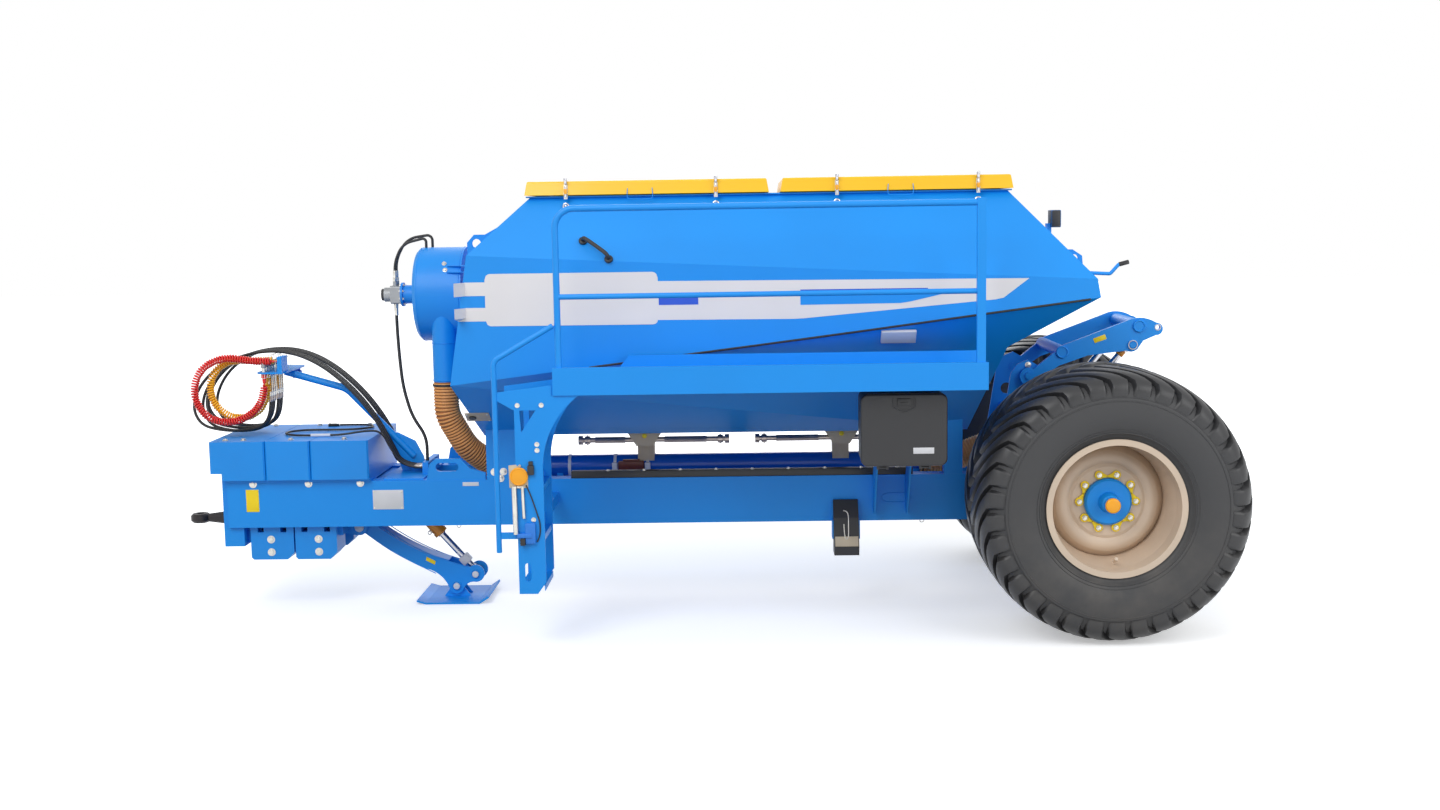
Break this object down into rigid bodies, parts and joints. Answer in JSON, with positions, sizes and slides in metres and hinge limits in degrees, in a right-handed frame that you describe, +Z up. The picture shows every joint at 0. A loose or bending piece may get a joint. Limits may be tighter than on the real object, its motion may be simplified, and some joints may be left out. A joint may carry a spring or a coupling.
{
  "type": "seed drill air cart",
  "caption": "Towed single-axle seeding cart: faceted two-compartment hopper with yellow lids, fan, air line, walkway with ladder, ballast weights, parking stand and towing eye.",
  "frame": {"origin": "on the ground under the middle of the overall length, on the machine's centre plane", "axes": "+X forward to the towing eye, +Y the left side with the walkway, +Z up"},
  "size_m": [6.7547, 3, 2.77],
  "materials": {
    "blue_steel": "glossy bright blue paint",
    "blue_casting": "blue paint on cast weights",
    "cream_rim": "satin cream paint",
    "tyre": "dark grey rubber",
    "forged_steel": "dark forged steel",
    "yellow_lid": "smooth yellow lid shell",
    "galvanised": "zinc plated",
    "black_plastic": "grained black plastic",
    "orange_steel": "orange paint",
    "chrome": "polished rod",
    "grey_casting": "raw cast housing",
    "beige_hose": "ribbed beige hose",
    "beige_plastic": "beige plastic housing",
    "black_rubber": "black hydraulic hose",
    "red_line": "red coiled air line",
    "yellow_line": "yellow coiled air line"
  },
  "bodies": {
    "chassis": {"main_frame": "blue_steel", "axle_beam": "blue_steel", "towing_eye": "forged_steel", "upper_ballast": "blue_casting", "lower_ballast": "blue_casting", "hopper": "blue_steel", "lid_hinges": "galvanised", "hopper_supports": "blue_steel", "walkway": "blue_steel", "toe_board": "blue_steel", "guard_rail": "blue_steel", "ladder": "blue_steel", "walkway_brackets": "blue_steel", "toolbox": "black_plastic", "stand_frame_pins": "galvanised", "lift_towers": "blue_steel", "fan_housing": "blue_steel", "fan_motor": "grey_casting", "air_tube": "blue_steel", "fan_hose": "beige_hose", "rear_air_hose": "beige_hose", "metering_housings": "beige_plastic", "metering_shafts": "galvanised", "wheel_chock": "black_plastic", "hopper_fittings": "blue_steel", "hose_arm": "blue_steel", "hydraulic_hose_1": "black_rubber", "hydraulic_hose_2": "black_rubber", "hydraulic_hose_3": "black_rubber", "hydraulic_hose_4": "black_rubber", "hydraulic_hose_5": "black_rubber", "hydraulic_hose_6": "black_rubber", "red_air_line": "red_line", "yellow_air_line": "yellow_line", "electric_cable": "black_rubber", "couplings": "galvanised", "fan_lines": "black_rubber"},
    "left_wheel": {"left_rim": "cream_rim", "left_tyre": "tyre", "left_hub": "blue_steel"},
    "right_wheel": {"right_rim": "cream_rim", "right_tyre": "tyre", "right_hub": "blue_steel"},
    "stand_leg": {"stand_leg": "blue_steel", "stand_leg_pins": "galvanised"},
    "stand_foot": {"stand_foot": "blue_steel"},
    "stand_cylinder": {"stand_cylinder": "orange_steel"},
    "stand_rod": {"stand_cylinder_rod": "chrome"},
    "lift_arms": {"lift_arms": "blue_steel"},
    "left_lift_cylinder": {"left_lift_cylinder": "orange_steel"},
    "left_lift_rod": {"left_lift_cylinder_rod": "chrome"},
    "right_lift_cylinder": {"right_lift_cylinder": "orange_steel"},
    "right_lift_rod": {"right_lift_cylinder_rod": "chrome"},
    "front_lid": {"front_lid": "yellow_lid", "front_latches": "galvanised"},
    "rear_lid": {"rear_lid": "yellow_lid", "rear_latches": "galvanised"},
    "toolbox_door": {"toolbox_door": "black_plastic"}
  },
  "joints": [
    {"name": "left_wheel_turn", "type": "hinge", "parent": "chassis", "child": "left_wheel", "pos_m": [-2.5625, 1.075, 0.815], "axis": [0, 1, 0], "continuous": true},
    {"name": "right_wheel_turn", "type": "hinge", "parent": "chassis", "child": "right_wheel", "pos_m": [-2.5625, -1.075, 0.815], "axis": [0, 1, 0], "continuous": true},
    {"name": "stand_raise", "type": "hinge", "parent": "chassis", "child": "stand_leg", "pos_m": [2.2075, 0, 0.5], "axis": [0, 1, 0], "range_deg": [0, 24]},
    {"name": "stand_foot_tilt", "type": "hinge", "parent": "stand_leg", "child": "stand_foot", "pos_m": [1.5675, 0, 0.085], "axis": [0, 1, 0], "range_deg": [-12, 12]},
    {"name": "stand_cylinder_swing", "type": "hinge", "parent": "chassis", "child": "stand_cylinder", "pos_m": [1.9375, 0, 0.735], "axis": [0, 1, 0], "range_deg": [-2, 27.5]},
    {"name": "stand_rod_slide", "type": "slide", "parent": "stand_cylinder", "child": "stand_rod", "axis": [-0.6594, 0, -0.7518], "range_m": [-0.16, 0.005]},
    {"name": "lift_arms_raise", "type": "hinge", "parent": "chassis", "child": "lift_arms", "pos_m": [-2.2325, 0, 1.49], "axis": [0, 1, 0], "range_deg": [-35, 6]},
    {"name": "left_lift_cylinder_swing", "type": "hinge", "parent": "chassis", "child": "left_lift_cylinder", "pos_m": [-2.3125, 0.24, 0.97], "axis": [0, 1, 0], "range_deg": [-24, 5]},
    {"name": "left_lift_rod_slide", "type": "slide", "parent": "left_lift_cylinder", "child": "left_lift_rod", "axis": [-0.6326, 0, 0.7744], "range_m": [-0.28, 0.05]},
    {"name": "right_lift_cylinder_swing", "type": "hinge", "parent": "chassis", "child": "right_lift_cylinder", "pos_m": [-2.3125, -0.24, 0.97], "axis": [0, 1, 0], "range_deg": [-24, 5]},
    {"name": "right_lift_rod_slide", "type": "slide", "parent": "right_lift_cylinder", "child": "right_lift_rod", "axis": [-0.6326, 0, 0.7744], "range_m": [-0.28, 0.05]},
    {"name": "front_lid_open", "type": "hinge", "parent": "chassis", "child": "front_lid", "pos_m": [0.1825, -0.803, 2.71], "axis": [1, 0, 0], "range_deg": [0, 100]},
    {"name": "rear_lid_open", "type": "hinge", "parent": "chassis", "child": "rear_lid", "pos_m": [-1.3475, -0.803, 2.71], "axis": [1, 0, 0], "range_deg": [0, 100]},
    {"name": "toolbox_door_open", "type": "hinge", "parent": "chassis", "child": "toolbox_door", "pos_m": [-1.3375, 1.297, 1.055], "axis": [-1, 0, 0], "range_deg": [0, 95]}
  ],
  "couplings": [
    {"joint": "stand_cylinder_swing", "follows": "stand_raise", "ratio": 1.1006},
    {"joint": "stand_rod_slide", "follows": "stand_raise", "m_per_rad": -0.3522},
    {"joint": "left_lift_cylinder_swing", "follows": "lift_arms_raise", "ratio": 0.6546},
    {"joint": "left_lift_rod_slide", "follows": "lift_arms_raise", "m_per_rad": 0.43805},
    {"joint": "right_lift_cylinder_swing", "follows": "lift_arms_raise", "ratio": 0.6546},
    {"joint": "right_lift_rod_slide", "follows": "lift_arms_raise", "m_per_rad": 0.43805}
  ]
}
